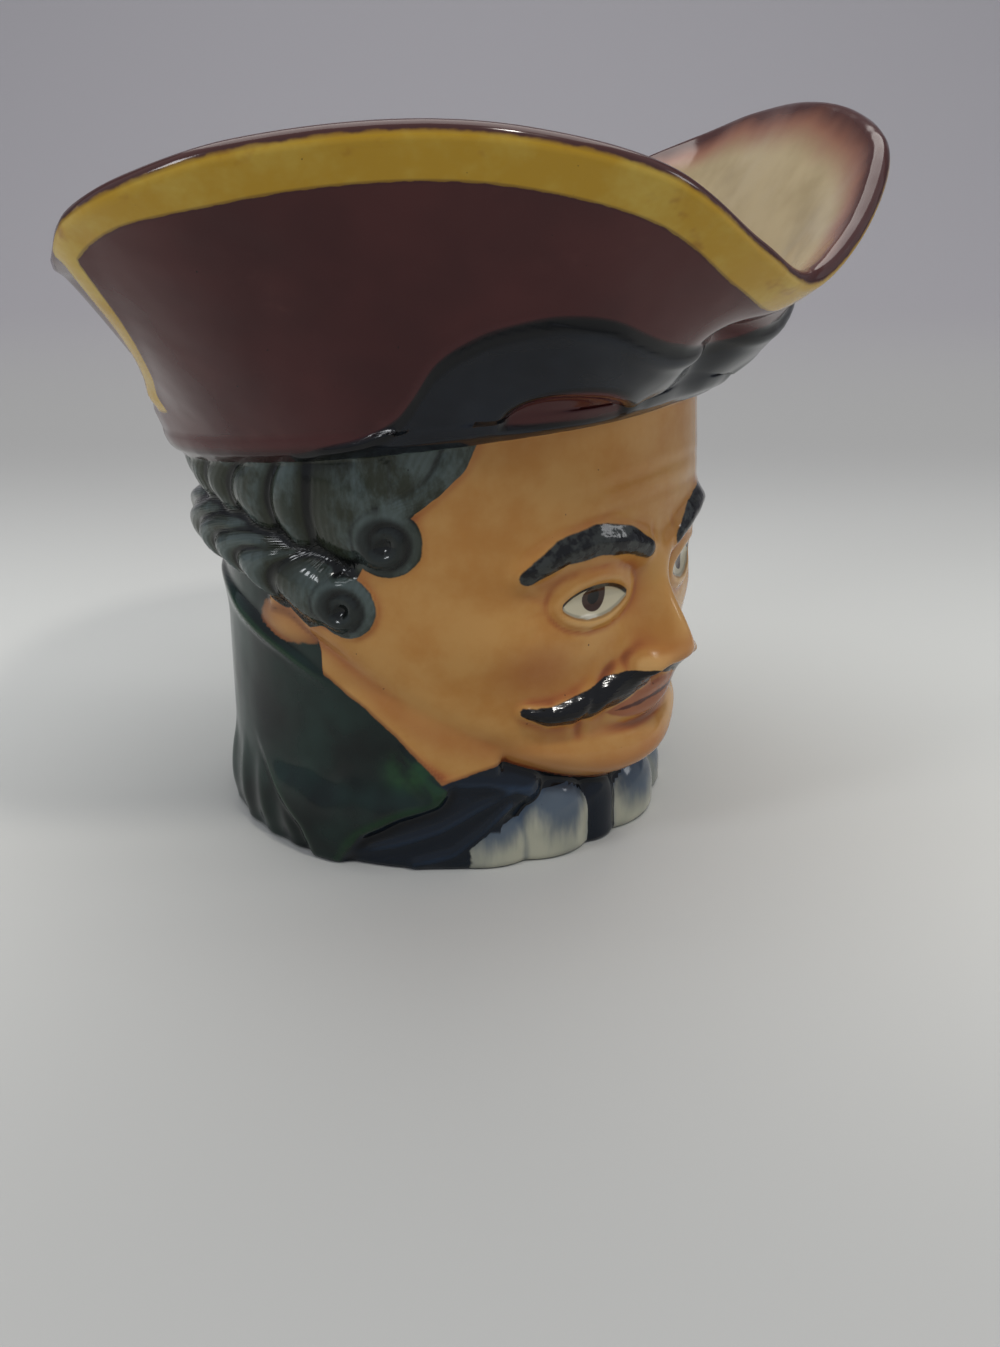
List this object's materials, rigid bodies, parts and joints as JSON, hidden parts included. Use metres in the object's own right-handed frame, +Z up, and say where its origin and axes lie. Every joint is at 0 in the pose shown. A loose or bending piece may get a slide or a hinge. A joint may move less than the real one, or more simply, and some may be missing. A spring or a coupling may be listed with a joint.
{
  "type": "character jug",
  "caption": "Glazed pottery jug shaped as a gentleman's head in a three-cornered hat, hollow, with a pouring lip and a loop handle.",
  "frame": {"origin": "centre of the bounding box in plan, on the plane the foot ring stands on", "axes": "+Z up, the face and the pouring lip toward -Y, +X toward the figure's left, where the handle is"},
  "size_m": [0.214, 0.175, 0.1648],
  "materials": {
    "glazed_pottery": "hand-painted colours under a clear gloss glaze: dark brown hat with a yellow edge, blue-black mask, grey wig, tan face, dark green coat, navy cravat and off-white ruffle, cream inside"
  },
  "bodies": {
    "root": {"jug": "glazed_pottery"}
  },
  "joints": []
}
